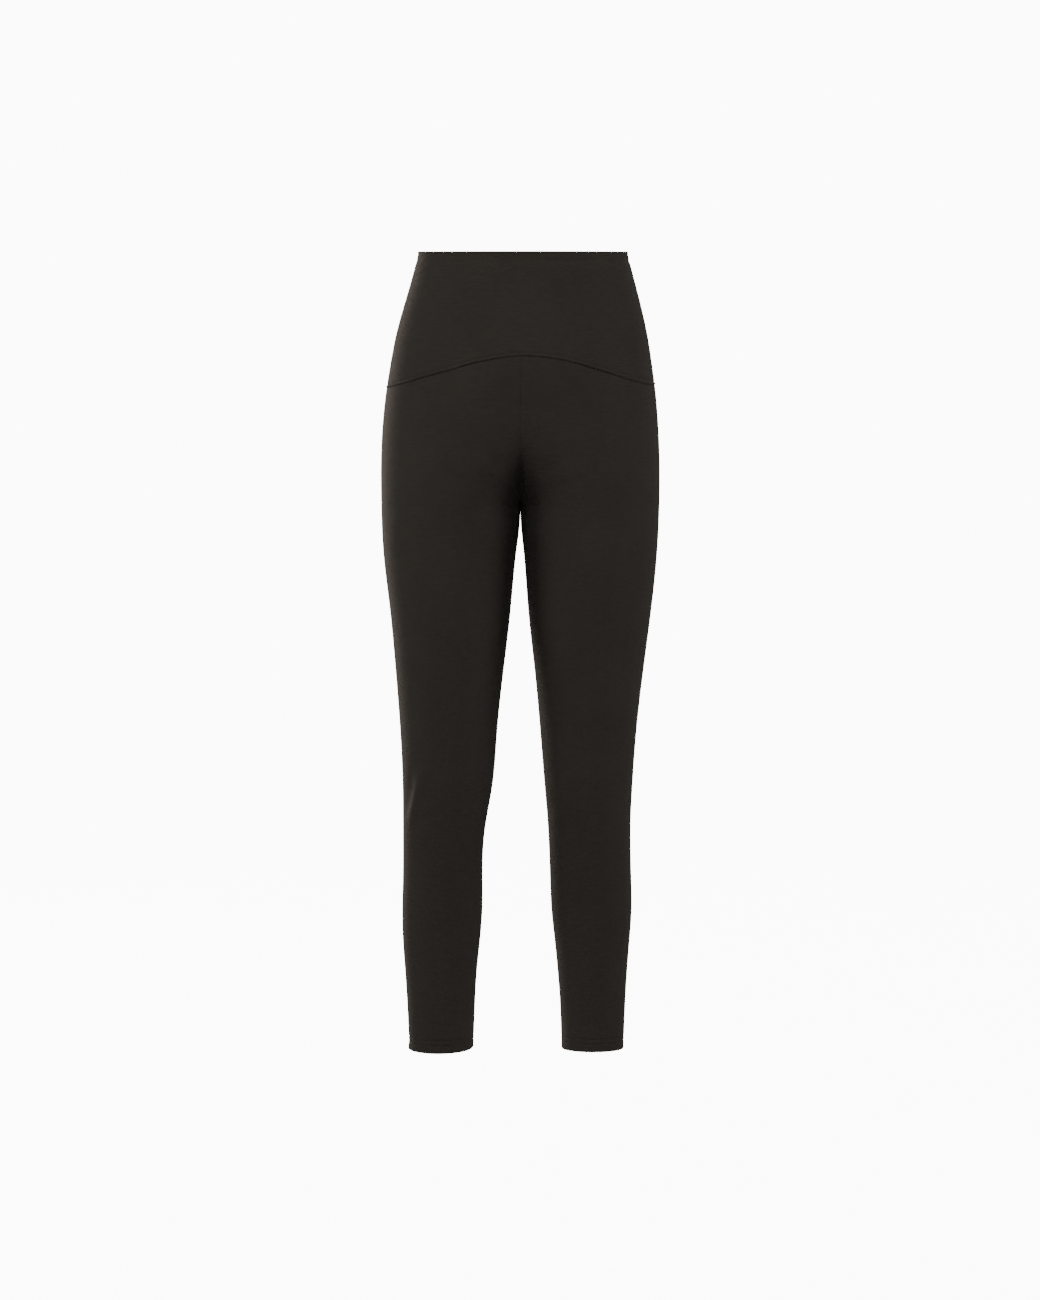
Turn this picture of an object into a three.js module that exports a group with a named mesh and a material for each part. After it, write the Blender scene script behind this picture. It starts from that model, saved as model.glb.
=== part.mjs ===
// High-waisted knit leggings, filled out as they are when worn, and hollow.
//
// Millimetres, +Z up, the front faces -Y and the wearer's left is +X. The origin is the middle of
// the waist opening, level with its top edge, where the wearer's waist holds the garment up.
//
// The garment is cut from six pieces of thick double knit: a front and a back waist yoke, and a
// front and a back panel for each leg. A yoke joins its neighbour at the side seams, and its lower
// edge, arched over the stomach, is sewn to the leg panels. The leg panels meet at the centre
// front and centre back down to the crotch, and at the side seam and inseam below it. The waist
// edge and the hems are turned in once, so the cloth is double there.

import * as THREE from "three";
import { mergeVertices } from "three/addons/utils/BufferGeometryUtils.js";

const { clamp, lerp } = THREE.MathUtils;

// Cloth and seams
const WALL = 1.5; // thickness of the knit
const TURNED_WALL = 3; // thickness where an edge is turned in
const SEAM_GAP = 0.3; // space between two pieces at a seam
const WAIST_TURN = 10; // depth of the turned waist edge
const HEM_TURN = 15; // depth of the turned hem
const TURN_STEP = 1.5; // height over which the wall thickens at a turned edge
const SEAM_RIDGE = 0.6; // how far a yoke stands proud over its seam allowance
const RIDGE_WIDTH = 5; // width of that ridge, up from the yoke seam

// The yoke seam: highest at the centre front, level from the side seams round the back
const YOKE_FRONT_Z = -117.8;
const YOKE_SIDE_Z = -157;
const YOKE_ARCH = { top: 1.45, ends: 1.6 }; // roundness at the centre, and towards the side seams

// The crotch. `rise` is the height above it at which the body is one round form, without a crease
// between the legs, and `curl` is how soon the centre seam runs upright above it.
const CROTCH_Z = -296;
const CENTRE_SEAM = {
  front: { rise: 115, curl: 3 },
  back: { rise: 175, curl: 4.5 },
};
const CREASE_POWER = 1.5; // keeps the cloth smooth where the legs part
const CREASE_SOFTNESS = 0.25; // rounding of a deep crease, for each mm above the crotch
const FLATTEST_CENTRE = 0.9995; // share of the full depth at the centre, where there is no crease
const MOST_LOST = 50; // most length that the lines near the centre seam take up

// Sections are ellipses in the legs, and squarer towards the waist
const LEG_FULLNESS = 2;
const WAIST_FULLNESS = 2.25;

// Sections of the body, from the waist to the crotch. `outer` is half the width, `front` and
// `back` say how far the cloth reaches, `thigh` and `seat` say how far out from the centre line
// it reaches that far, `side` is the side seam, and `lean` is the middle of the section.
const BODY_SECTIONS = [
  { z: 0, outer: 121.6, front: -93, back: 88, thigh: 6, seat: 6, side: -2, lean: 0 },
  { z: -30, outer: 129.5, front: -96, back: 92, thigh: 6, seat: 8, side: 0, lean: 0.1 },
  { z: -65, outer: 139.3, front: -101, back: 99, thigh: 7, seat: 15, side: 2, lean: -0.5 },
  { z: -100, outer: 147.9, front: -106, back: 108, thigh: 9, seat: 27, side: 4, lean: -1.4 },
  { z: -135, outer: 154, front: -109, back: 118, thigh: 14, seat: 41, side: 6, lean: -2 },
  { z: -170, outer: 159, front: -109, back: 127, thigh: 24, seat: 54, side: 8, lean: -2.5 },
  { z: -205, outer: 162.2, front: -107, back: 131, thigh: 40, seat: 63, side: 9, lean: -2.9 },
  { z: -250, outer: 164, front: -101, back: 126, thigh: 62, seat: 71, side: 8, lean: -3 },
  { z: -296, outer: 163.7, front: -95, back: 108, thigh: 78, seat: 79, side: 5, lean: -3 },
];

// Sections of the legs below the crotch. `outer` and `inner` are measured from the crotch line,
// one pair for each leg, because the right knee is turned in a little.
const LEG_SECTIONS = [
  { z: -350, right: [4.6, 161.5], left: [3.9, 161.3], front: -91, back: 90, side: 2 },
  { z: -420, right: [11.5, 153.7], left: [9.4, 154.4], front: -86, back: 80, side: 0 },
  { z: -490, right: [19.6, 147.3], left: [16.9, 145.5], front: -80, back: 73, side: -1 },
  { z: -563, right: [27.4, 141.8], left: [23.6, 137.2], front: -72, back: 64, side: -3 },
  { z: -635, right: [34.1, 138.9], left: [29.5, 132.1], front: -64, back: 54, side: -4 },
  { z: -670, right: [40.4, 138.8], left: [32.4, 130.6], front: -59, back: 53, side: -2 },
  { z: -706, right: [44.3, 138.9], left: [34.3, 130.7], front: -54, back: 58, side: 1 },
  { z: -743, right: [45.1, 139.4], left: [35.6, 131.7], front: -49, back: 65, side: 5 },
  { z: -780, right: [45.4, 140.3], left: [37.3, 132.2], front: -45, back: 69, side: 8 },
  { z: -815, right: [48.1, 139.6], left: [41, 129.9], front: -42, back: 67, side: 9 },
  { z: -851, right: [51.8, 137.2], left: [44.5, 127.2], front: -39, back: 61, side: 9 },
  { z: -887, right: [54, 134.9], left: [47.3, 125.1], front: -37, back: 54, side: 8 },
  { z: -948, right: [56.2, 132.2], left: [49.3, 122.8], front: -36, back: 46, side: 6 },
].map(({ right, left, ...row }) => ({
  ...row,
  right: { inner: right[0], outer: right[1] },
  left: { inner: left[0], outer: left[1] },
}));

// The hems: height of the edge, and how much higher it runs at the inseam and at the shin
const HEMS = {
  right: { z: -946, inseamLift: 2, shinLift: 0 },
  left: { z: -945.5, inseamLift: 0, shinLift: 2.5 },
};

// How finely the solids are divided
const PANEL_COLUMNS = 12; // from the centre line or inseam to the side seam
const YOKE_ROWS = 5; // between the turned edge and the seam ridge
const SEAT_ROWS = 11; // from the yoke seam to the crotch
const LEG_ROWS = 28; // from the crotch to the turned hem
const CURVE_STEPS = 160; // steps in which a section's length is measured
const SLOPE_STEP = 0.002; // share of a panel over which its slope is measured

const WEARER_SIDE = { left: 1, right: -1 };

const knit = () => new THREE.MeshStandardMaterial({ color: 0x2a2622, roughness: 0.85, metalness: 0 });

// The smooth curve through one column of a table of sections: a natural cubic spline over height.
function columnCurve(rows, column) {
  const depth = rows.map((row) => -row.z);
  const value = rows.map((row) => row[column]);
  const last = rows.length - 1;
  const span = (i) => depth[i + 1] - depth[i];
  const slope = (i) => (value[i + 1] - value[i]) / span(i);
  const bend = new Array(rows.length).fill(0);
  const carry = new Array(rows.length).fill(0);
  for (let i = 1; i < last; i++) {
    const pivot = 2 * (span(i - 1) + span(i)) - span(i - 1) * carry[i - 1];
    carry[i] = span(i) / pivot;
    bend[i] = (6 * (slope(i) - slope(i - 1)) - span(i - 1) * bend[i - 1]) / pivot;
  }
  for (let i = last - 1; i > 0; i--) bend[i] -= carry[i] * bend[i + 1];
  return (z) => {
    const at = clamp(-z, depth[0], depth[last]);
    let i = 0;
    while (i < last - 1 && at > depth[i + 1]) i++;
    const up = (at - depth[i]) / span(i);
    const down = 1 - up;
    const bow = ((up ** 3 - up) * bend[i + 1] + (down ** 3 - down) * bend[i]) * span(i) ** 2 / 6;
    return up * value[i + 1] + down * value[i] + bow;
  };
}

// The curves of one leg, run together with those of the body above it.
function legCurves(leg) {
  const legRows = LEG_SECTIONS.map(({ z, front, back, side, [leg]: { inner, outer } }) => {
    const middle = (inner + outer) / 2;
    return { z, front, back, side, inner, outer, thigh: middle, seat: middle };
  });
  const allRows = [...BODY_SECTIONS, ...legRows];
  const inseamRows = [{ z: CROTCH_Z, inner: SEAM_GAP / 2 }, ...legRows];
  return {
    outer: columnCurve(allRows, "outer"),
    front: columnCurve(allRows, "front"),
    back: columnCurve(allRows, "back"),
    thigh: columnCurve(allRows, "thigh"),
    seat: columnCurve(allRows, "seat"),
    side: columnCurve(allRows, "side"),
    inner: columnCurve(inseamRows, "inner"),
    lean: columnCurve(BODY_SECTIONS, "lean"),
  };
}
const CURVES = { left: legCurves("left"), right: legCurves("right") };

const signedPower = (value, power) => Math.sign(value) * Math.abs(value) ** power;

// Share of the full depth that the cloth reaches at the centre line: none at the crotch, where
// the legs only touch, and nearly all of it higher up.
function centreShare(panel, height) {
  const { rise, curl } = CENTRE_SEAM[panel];
  const up = clamp(height / rise, 0, 1) ** CREASE_POWER;
  return Math.min(Math.sqrt(1 - (1 - up) ** curl), FLATTEST_CENTRE);
}

// One panel's part of a horizontal section: a curve from the centre line, or from the inseam, out
// to the side seam, as points that hold the distance from the centre line and the depth from the
// side seam. On each side of its deepest point it is a quarter of an ellipse, and above the crotch
// the inner quarter stops short at the centre line. `lost` is the length that this cuts off near
// the crotch, and nothing at the yoke.
function sectionCurve(leg, panel, z, edgeGap) {
  const curves = CURVES[leg];
  const height = Math.max(0, z - CROTCH_Z);
  const fullness = lerp(LEG_FULLNESS, WAIST_FULLNESS, height / -CROTCH_Z);
  const outer = curves.outer(z);
  const deepest = panel === "front" ? curves.thigh(z) : curves.seat(z);
  const depth = Math.abs(curves[panel](z) - curves.side(z));
  const creaseAngle = Math.asin(centreShare(panel, height) ** (fullness / 2));
  const softness = CREASE_SOFTNESS * height * Math.cos(creaseAngle);
  const start = z > CROTCH_Z ? Math.hypot(softness, edgeGap) : curves.inner(z);
  const innerReach = z > CROTCH_Z
    ? deepest / Math.cos(creaseAngle) ** (2 / fullness)
    : deepest - start;
  const startShare = clamp((deepest - start) / innerReach, -1, 1);
  const startAngle = Math.max(Math.acos(signedPower(startShare, fullness / 2)), edgeGap / depth);
  const widen = outer / Math.sqrt(outer ** 2 - softness ** 2);
  const points = [];
  for (let i = 0; i <= CURVE_STEPS; i++) {
    const angle = lerp(startAngle, Math.PI - SEAM_GAP / 2 / depth, i / CURVE_STEPS);
    const reach = angle < Math.PI / 2 ? innerReach : outer - deepest;
    const wide = deepest - reach * signedPower(Math.cos(angle), 2 / fullness);
    const x = widen * Math.sqrt(Math.max(wide ** 2 - softness ** 2, edgeGap ** 2));
    points.push(new THREE.Vector2(x, depth * Math.sin(angle) ** (2 / fullness)));
  }
  const cutOff = z > CROTCH_Z ? Math.hypot(innerReach - deepest, points[0].y) : 0;
  const fade = 1 - clamp(height / (YOKE_SIDE_Z - CROTCH_Z), 0, 1) ** 2;
  const lost = (fade * cutOff) / Math.hypot(1, cutOff / MOST_LOST);
  return { points, lost };
}

// Distance along the cloth from the side seam, for a share of the way to the centre line. Where
// the centre seam curves under the body, it takes up the length that the section loses there, so
// that the lines next to the side seam run straight down past the crotch.
function alongCloth(share, length, lost) {
  return share * (length + lost) - lost * share ** 3;
}

// A point of the cloth's outer face before any ridge. `across` runs from 0 at the centre line, or
// at the inseam, to 1 at the side seam.
function facePoint(leg, panel, across, z, edgeGap) {
  const { points, lost } = sectionCurve(leg, panel, z, edgeGap);
  const lengths = [0];
  for (let i = 1; i < points.length; i++) {
    lengths.push(lengths[i - 1] + points[i].distanceTo(points[i - 1]));
  }
  const target = lengths.at(-1) - alongCloth(1 - across, lengths.at(-1), lost);
  let i = 1;
  while (i < points.length - 1 && lengths[i] < target) i++;
  const share = (target - lengths[i - 1]) / (lengths[i] - lengths[i - 1]);
  const point = new THREE.Vector2().lerpVectors(points[i - 1], points[i], share);
  const { lean, side } = CURVES[leg];
  return new THREE.Vector3(
    lean(z) + WEARER_SIDE[leg] * point.x,
    side(z) + (panel === "front" ? -point.y : point.y),
    z,
  );
}

// Height of the yoke seam: arched over the front, level round the back.
function yokeSeamZ(panel, across) {
  if (panel === "back") return YOKE_SIDE_Z;
  const drop = 1 - (1 - across ** YOKE_ARCH.top) ** YOKE_ARCH.ends;
  return lerp(YOKE_FRONT_Z, YOKE_SIDE_Z, drop);
}

// Height of a hem's edge.
function hemZ(leg, panel, across) {
  const { z, inseamLift, shinLift } = HEMS[leg];
  const round = Math.sin(across * Math.PI);
  return z + inseamLift * (1 - across) + (panel === "front" ? shinLift * round : 0);
}

// The inward normal at a point of a surface given as a function of two shares, by its slopes.
// `facing` is 1 where the shares run clockwise as seen from outside, and -1 where they don't.
function inwardNormal(surface, across, down, facing) {
  const low = (share) => Math.max(share - SLOPE_STEP, 0);
  const high = (share) => Math.min(share + SLOPE_STEP, 1);
  const acrossSlope = surface(high(across), down).sub(surface(low(across), down));
  const downSlope = surface(across, high(down)).sub(surface(across, low(down)));
  return acrossSlope.cross(downSlope).multiplyScalar(facing).normalize();
}

// Wall thickness at a distance from an edge that is turned in.
function wallNear(edgeDistance, turn) {
  return lerp(WALL, TURNED_WALL, clamp((turn + TURN_STEP - edgeDistance) / TURN_STEP, 0, 1));
}

// A closed wall between an outer and an inner grid of points, both [row][column].
function wall(outer, inner, flip) {
  const positions = [];
  const triangle = (a, b, c) => {
    for (const p of flip ? [a, c, b] : [a, b, c]) positions.push(p.x, p.y, p.z);
  };
  const quad = (a, b, c, d) => {
    triangle(a, b, c);
    triangle(a, c, d);
  };
  const rows = outer.length - 1;
  const columns = outer[0].length - 1;
  for (let i = 0; i < rows; i++) {
    for (let j = 0; j < columns; j++) {
      quad(outer[i][j], outer[i][j + 1], outer[i + 1][j + 1], outer[i + 1][j]);
      quad(inner[i][j], inner[i + 1][j], inner[i + 1][j + 1], inner[i][j + 1]);
    }
    quad(outer[i][0], outer[i + 1][0], inner[i + 1][0], inner[i][0]);
    quad(outer[i][columns], inner[i][columns], inner[i + 1][columns], outer[i + 1][columns]);
  }
  for (let j = 0; j < columns; j++) {
    quad(outer[0][j], inner[0][j], inner[0][j + 1], outer[0][j + 1]);
    quad(outer[rows][j], outer[rows][j + 1], inner[rows][j + 1], inner[rows][j]);
  }
  const geometry = new THREE.BufferGeometry();
  geometry.setAttribute("position", new THREE.Float32BufferAttribute(positions, 3));
  const merged = mergeVertices(geometry, 1e-4);
  merged.computeVertexNormals();
  return merged;
}

function piece(name, geometry) {
  const mesh = new THREE.Mesh(geometry, knit());
  mesh.name = name;
  return mesh;
}

// The shares of a leg panel's height at which its rows lie. One half of them is above the crotch,
// and the last two rows close the turned hem.
function legRowShares(leg) {
  const legLength = CROTCH_Z - HEMS[leg].z;
  const aboveTurn = 1 - (HEM_TURN + TURN_STEP) / legLength;
  const shares = [];
  for (let i = 0; i < SEAT_ROWS; i++) shares.push((0.5 * i) / SEAT_ROWS);
  for (let i = 0; i <= LEG_ROWS; i++) shares.push(0.5 + (0.5 * aboveTurn * i) / LEG_ROWS);
  shares.push(1 - (0.5 * HEM_TURN) / legLength, 1);
  return shares;
}

// A leg panel: from the yoke seam, past the crotch, to the hem. The rows crowd together towards
// the crotch, where the centre seam curves under the body.
function legPanel(leg, panel) {
  const heightAt = (across, down) => {
    if (down > 0.5) return lerp(CROTCH_Z, hemZ(leg, panel, across), 2 * down - 1);
    const top = yokeSeamZ(panel, across) - SEAM_GAP / 2;
    return lerp(CROTCH_Z, top, (1 - 2 * down) ** 2);
  };
  const surface = (across, down) => {
    return facePoint(leg, panel, across, heightAt(across, down), SEAM_GAP / 2);
  };
  const facing = WEARER_SIDE[leg] * (panel === "front" ? 1 : -1);
  const outer = [];
  const inner = [];
  for (const down of legRowShares(leg)) {
    const outerRow = [];
    const innerRow = [];
    for (let j = 0; j <= PANEL_COLUMNS; j++) {
      const across = j / PANEL_COLUMNS;
      const point = surface(across, down);
      const inward = inwardNormal(surface, across, down, facing);
      if (j === 0) inward.setComponent(down < 0.5 ? 0 : 1, 0).normalize();
      if (j === PANEL_COLUMNS) inward.setY(0).normalize();
      const thickness = wallNear(point.z - hemZ(leg, panel, across), HEM_TURN);
      outerRow.push(point);
      innerRow.push(point.clone().addScaledVector(inward, thickness));
    }
    outer.push(outerRow);
    inner.push(innerRow);
  }
  return piece(`${leg}_leg_${panel}`, wall(outer, inner, facing > 0));
}

// A yoke: from the right side seam, round the front or the back, to the left one.
function yoke(panel) {
  const lowEdge = (across) => yokeSeamZ(panel, across) + SEAM_GAP / 2;
  const rowHeights = (across) => {
    const low = lowEdge(across);
    const heights = [0, -WAIST_TURN];
    for (let i = 0; i <= YOKE_ROWS; i++) {
      heights.push(lerp(-(WAIST_TURN + TURN_STEP), low + RIDGE_WIDTH, i / YOKE_ROWS));
    }
    heights.push(low + RIDGE_WIDTH / 2, low);
    return heights;
  };
  const outer = rowHeights(0).map(() => []);
  const inner = rowHeights(0).map(() => []);
  for (let j = -PANEL_COLUMNS; j <= PANEL_COLUMNS; j++) {
    const leg = j < 0 ? "right" : "left";
    const across = Math.abs(j) / PANEL_COLUMNS;
    const facing = WEARER_SIDE[leg] * (panel === "front" ? 1 : -1);
    const surface = (share, down) => facePoint(leg, panel, share, lowEdge(share) * down, 0);
    rowHeights(across).forEach((z, i) => {
      const point = facePoint(leg, panel, across, z, 0);
      const inward = inwardNormal(surface, across, z / lowEdge(across), facing);
      if (j === 0) inward.setX(0).normalize();
      if (across === 1) inward.setY(0).normalize();
      const ridge = SEAM_RIDGE * clamp(1 - (z - lowEdge(across)) / RIDGE_WIDTH, 0, 1);
      outer[i].push(point.clone().addScaledVector(inward, -ridge));
      inner[i].push(point.clone().addScaledVector(inward, wallNear(-z, WAIST_TURN)));
    });
  }
  return piece(`${panel}_yoke`, wall(outer, inner, panel === "front"));
}

const leggings = new THREE.Group();
leggings.add(yoke("front"), yoke("back"));
for (const leg of ["left", "right"]) {
  leggings.add(legPanel(leg, "front"), legPanel(leg, "back"));
}

export default leggings;
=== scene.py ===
# High-waisted knit leggings, filled out as they are when worn, and hollow, in a pale studio.
#
# Metres, +Z up, the front faces -Y and the wearer's left is +X. The origin is the middle of the
# waist opening. The garment is put together in a maker's order: the camera stands ready, the four
# leg panels are cut, with their seam allowances and hem stitches, then the two yokes with theirs,
# and the paper and the lamps come last. Sizes of the cloth are in mm.

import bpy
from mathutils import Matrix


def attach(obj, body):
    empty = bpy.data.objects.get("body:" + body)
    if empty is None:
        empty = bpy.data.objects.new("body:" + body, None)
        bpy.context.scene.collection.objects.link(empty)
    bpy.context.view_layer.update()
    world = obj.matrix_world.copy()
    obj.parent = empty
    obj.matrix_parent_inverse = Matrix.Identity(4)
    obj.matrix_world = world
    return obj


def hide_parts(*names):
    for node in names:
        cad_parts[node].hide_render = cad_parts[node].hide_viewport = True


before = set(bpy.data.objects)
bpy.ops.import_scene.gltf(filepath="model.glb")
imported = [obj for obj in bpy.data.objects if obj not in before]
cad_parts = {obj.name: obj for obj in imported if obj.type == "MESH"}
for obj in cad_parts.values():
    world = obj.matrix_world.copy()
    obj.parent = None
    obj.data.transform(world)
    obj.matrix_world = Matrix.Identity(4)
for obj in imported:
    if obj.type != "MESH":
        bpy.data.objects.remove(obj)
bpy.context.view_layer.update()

import math

import bpy
import numpy as np
from mathutils import Matrix, Vector

# The photographer's view: a long lens 4.6 m in front, a little under the level of the waist, and
# aimed at the middle of the garment. So the waist edge looks straight, and each hem is an arc.
CAMERA_PLACE = Vector((-0.0034, -4.6, -0.067))
CAMERA_AIM = Vector((-0.0034, 0, -0.4683))
LENS = 108.3  # mm, on a sensor that is 36 mm on the frame's long side

view_line = CAMERA_AIM - CAMERA_PLACE
bpy.ops.object.camera_add(location=CAMERA_PLACE, rotation=view_line.to_track_quat("-Z", "Y").to_euler())
camera = bpy.context.object
camera.data.lens = LENS
camera.data.sensor_width = 36
bpy.context.scene.camera = camera


# The leg panels: a front and a back for each leg, cut from thick double knit. They are sewn to
# each other at the side seam and the inseam, and to the other leg's panels up from the crotch.
# Each is one layer of cloth, rolled in at its seams, and its hem is turned in once.
MM = 0.001
CLOTH = 1.3  # thickness of the knit, mm, as all sizes of the cloth are
HALF_GAP = 0.003  # half the space between two panels that meet at a seam
SEAM_ROLL = 0.6  # radius in which a panel's edge rolls into its seam
FOLD_RADIUS = 1.4  # outer radius of the cloth where an edge is turned in
FOLD_STEPS = 10
HEM_TURN = 17.5  # how far the hem is turned in
HEM_STITCH_ROWS = (10, 15.5)  # height of each row of stitches above the hem's edge
STITCH_STEPS = (-1.2, -0.7, -0.35, 0, 0.35, 0.7, 1.2)  # rows beside each row of stitches
STITCH_GROOVE = {"depth": 0.45, "width": 0.9}
CREASE_FADE = 22  # height above the crotch over which the hollows there begin
THIGHS_TOUCH = 10  # how far below the crotch the two thighs still touch
CENTRE_ROLL = 0.08  # the centre front and back seams are pressed open, and hardly show
FRONT_VALLEY = {"middle": -205, "reach": 50, "width": 24, "depth": 5}  # under the stomach
CROTCH_CREASE = {"middle": -268, "reach": 24, "width": 3.2, "depth": 7}  # where the legs part
HEM_FLARE = {"out": 1.2, "above": 6, "reach": 22}  # the right hem stands out at its side seam
ALLOWANCE = 7  # width of a seam allowance
ALLOWANCE_RIDGE = 0.3  # how far the cloth stands proud over an allowance
SEAM_STEPS = (0, 0.15, 0.35, 0.6, 0.9, 1.3, 1.9, 2.8, 4)  # columns and rows near a seam
PANEL_EDGE = 5.5  # where the even columns and rows begin
PANEL_COLUMNS = 60
SEAT_ROWS = 60
LEG_ROWS = 130
SEAT_PACKING = 1.8  # how much closer together the rows lie towards the crotch
LEG_PACKING = 1.15
HEM_DETAIL = 22  # height above the edge where the rows follow the hem's stitches
CURVE_STEPS = 320

# The yoke seam's height at the centre front and round the back, and for each leg how flat the
# seam is at the centre and at the side, and its height at the side seam
YOKE_FRONT_Z = -121.5
YOKE_BACK_Z = -157
YOKE_ARCH = {
    "right": {"top": 1.7, "ends": 2.4, "side": -160},
    "left": {"top": 2.2, "ends": 3.8, "side": -156},
}
# How unevenly the yoke seam runs across each half: the size, rate and start of each wave
YOKE_SEAM_WANDER = ((0.35, 9, 1), (0.175, 23, 2))

# The crotch, and how steeply the centre seams rise from it and curl under the body
CROTCH_Z = -296
CENTRE_SEAM = {"front": {"rise": 115, "curl": 3}, "back": {"rise": 175, "curl": 4.5}}
CREASE_POWER = 1.5
CREASE_SOFTNESS = 0.25
FLATTEST_CENTRE = 0.9995
MOST_LOST = 50
LEG_FULLNESS = 2
WAIST_FULLNESS = 2.25

# Sections of the body and of the legs. `outer` is half the width, `front` and `back` say how far
# the cloth reaches, `thigh` and `seat` say how far out it reaches that far, `side` is the side
# seam and `lean` the middle of the section.
BODY_SIZES = ("z", "outer", "front", "back", "thigh", "seat", "side", "lean")
BODY_SECTIONS = [
    (0, 121.6, -93, 88, 6, 6, -2, 0),
    (-30, 129.5, -96, 92, 6, 8, 0, 0.1),
    (-65, 139.3, -101, 99, 7, 15, 2, -0.5),
    (-100, 147.9, -106, 108, 9, 27, 4, -1.4),
    (-135, 154, -109, 118, 14, 41, 6, -2),
    (-170, 159, -109, 127, 24, 54, 8, -2.5),
    (-205, 162.2, -107, 131, 40, 63, 9, -2.9),
    (-250, 164, -101, 126, 62, 71, 8, -3),
    (-296, 163.7, -95, 108, 78, 79, 5, -3),
]
LEG_SIZES = ("z", "right inner", "right outer", "left inner", "left outer", "front", "back", "side")
LEG_SECTIONS = [
    (-350, 4.6, 161.5, 3.9, 161.3, -91, 90, 2),
    (-420, 11.5, 153.7, 9.4, 154.4, -86, 80, 0),
    (-490, 19.6, 147.3, 16.9, 145.5, -80, 73, -1),
    (-563, 27.4, 141.8, 23.6, 137.2, -72, 64, -3),
    (-635, 34.1, 138.9, 29.5, 132.1, -64, 54, -4),
    (-670, 40.4, 138.8, 32.4, 130.6, -59, 53, -2),
    (-706, 44.3, 138.9, 34.3, 130.7, -54, 58, 1),
    (-743, 45.1, 139.4, 35.6, 131.7, -49, 65, 5),
    (-780, 45.4, 140.3, 37.3, 132.2, -45, 69, 8),
    (-815, 48.1, 139.6, 41, 129.9, -42, 67, 9),
    (-851, 51.8, 137.2, 44.5, 127.2, -39, 61, 9),
    (-887, 54, 134.9, 47.3, 125.1, -37, 54, 8),
    (-948, 56.2, 132.2, 49.3, 122.8, -36, 46, 6),
]
HEMS = {
    "right": {"z": -946, "inseam lift": 2, "shin lift": 0},
    "left": {"z": -945.5, "inseam lift": 0, "shin lift": 2.5},
}
WEARER_SIDE = {"left": 1, "right": -1}

# Soft folds, each a line on a panel from `start` to `end`, given as the distance out from the
# centre seam or inseam and the height. `depth` is below the cloth, and less than 0 for a ridge.
FOLD_SIZES = ("panel", "start", "end", "width", "depth")
FOLD_BOW = 0.12  # how far a fold bows, and half of what it runs, as shares of its length
FOLD_HALF_LENGTH = 0.42
FOLD_CREST = {"aside": 1.9, "width": 1.3, "height": 0.45}  # beside each trough, in its own sizes
FOLDS = [
    # drag lines that fan out from the crotch
    ("left_leg_front", (16, -262), (72, -224), 9, 0.7),
    ("left_leg_front", (20, -280), (88, -262), 10, 0.5),
    ("left_leg_front", (14, -322), (64, -352), 9, 0.5),
    ("right_leg_front", (14, -256), (60, -212), 8, 0.6),
    ("right_leg_front", (22, -276), (94, -250), 11, 0.6),
    ("right_leg_front", (16, -328), (72, -366), 10, 0.6),
    # the knees
    ("right_leg_front", (96, -655), (128, -672), 7, 0.9),
    ("right_leg_front", (126, -600), (133, -672), 8.5, -2.7),
    ("right_leg_front", (2, -676), (34, -662), 8, 0.8),
    ("right_leg_front", (20, -628), (80, -622), 12, 0.4),
    ("left_leg_front", (4, -660), (38, -650), 9, 0.6),
    ("left_leg_front", (88, -668), (120, -680), 8, 0.6),
    ("left_leg_front", (30, -636), (92, -628), 12, 0.35),
    # behind the knees
    ("right_leg_back", (10, -642), (92, -634), 9, 1.6),
    ("right_leg_back", (26, -668), (110, -656), 10, 1.9),
    ("right_leg_back", (4, -690), (60, -684), 9, 1.2),
    ("left_leg_back", (16, -636), (98, -642), 10, 1.7),
    ("left_leg_back", (6, -662), (84, -660), 9, 1.9),
    ("left_leg_back", (40, -690), (108, -682), 10, 1.1),
    # under the seat
    ("right_leg_back", (24, -318), (108, -300), 12, 1.4),
    ("right_leg_back", (34, -340), (96, -330), 10, 0.8),
    ("left_leg_back", (20, -312), (112, -304), 12, 1.5),
    ("left_leg_back", (30, -336), (90, -322), 10, 0.7),
    # the ankles
    ("right_leg_front", (8, -884), (52, -894), 7, 0.4),
    ("right_leg_back", (20, -872), (70, -880), 8, 0.7),
    ("left_leg_back", (12, -880), (66, -868), 8, 0.7),
    ("left_leg_front", (24, -866), (62, -876), 8, 0.35),
]


def smooth_curve(heights, values):
    """The natural cubic spline through one column of sizes, as a function of height."""
    depth = -np.array(heights, float)
    value = np.array(values, float)
    span = np.diff(depth)
    slope = np.diff(value) / span
    system = np.eye(len(depth))
    bend = np.zeros(len(depth))
    for i in range(1, len(depth) - 1):
        system[i, i - 1 : i + 2] = span[i - 1], 2 * (span[i - 1] + span[i]), span[i]
        bend[i] = 6 * (slope[i] - slope[i - 1])
    bend = np.linalg.solve(system, bend)

    def curve(z):
        at = np.clip(-np.asarray(z, float), depth[0], depth[-1])
        i = np.clip(np.searchsorted(depth, at) - 1, 0, len(depth) - 2)
        up = (at - depth[i]) / span[i]
        down = 1 - up
        bow = ((up**3 - up) * bend[i + 1] + (down**3 - down) * bend[i]) * span[i] ** 2 / 6
        return up * value[i + 1] + down * value[i] + bow

    return curve


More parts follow.
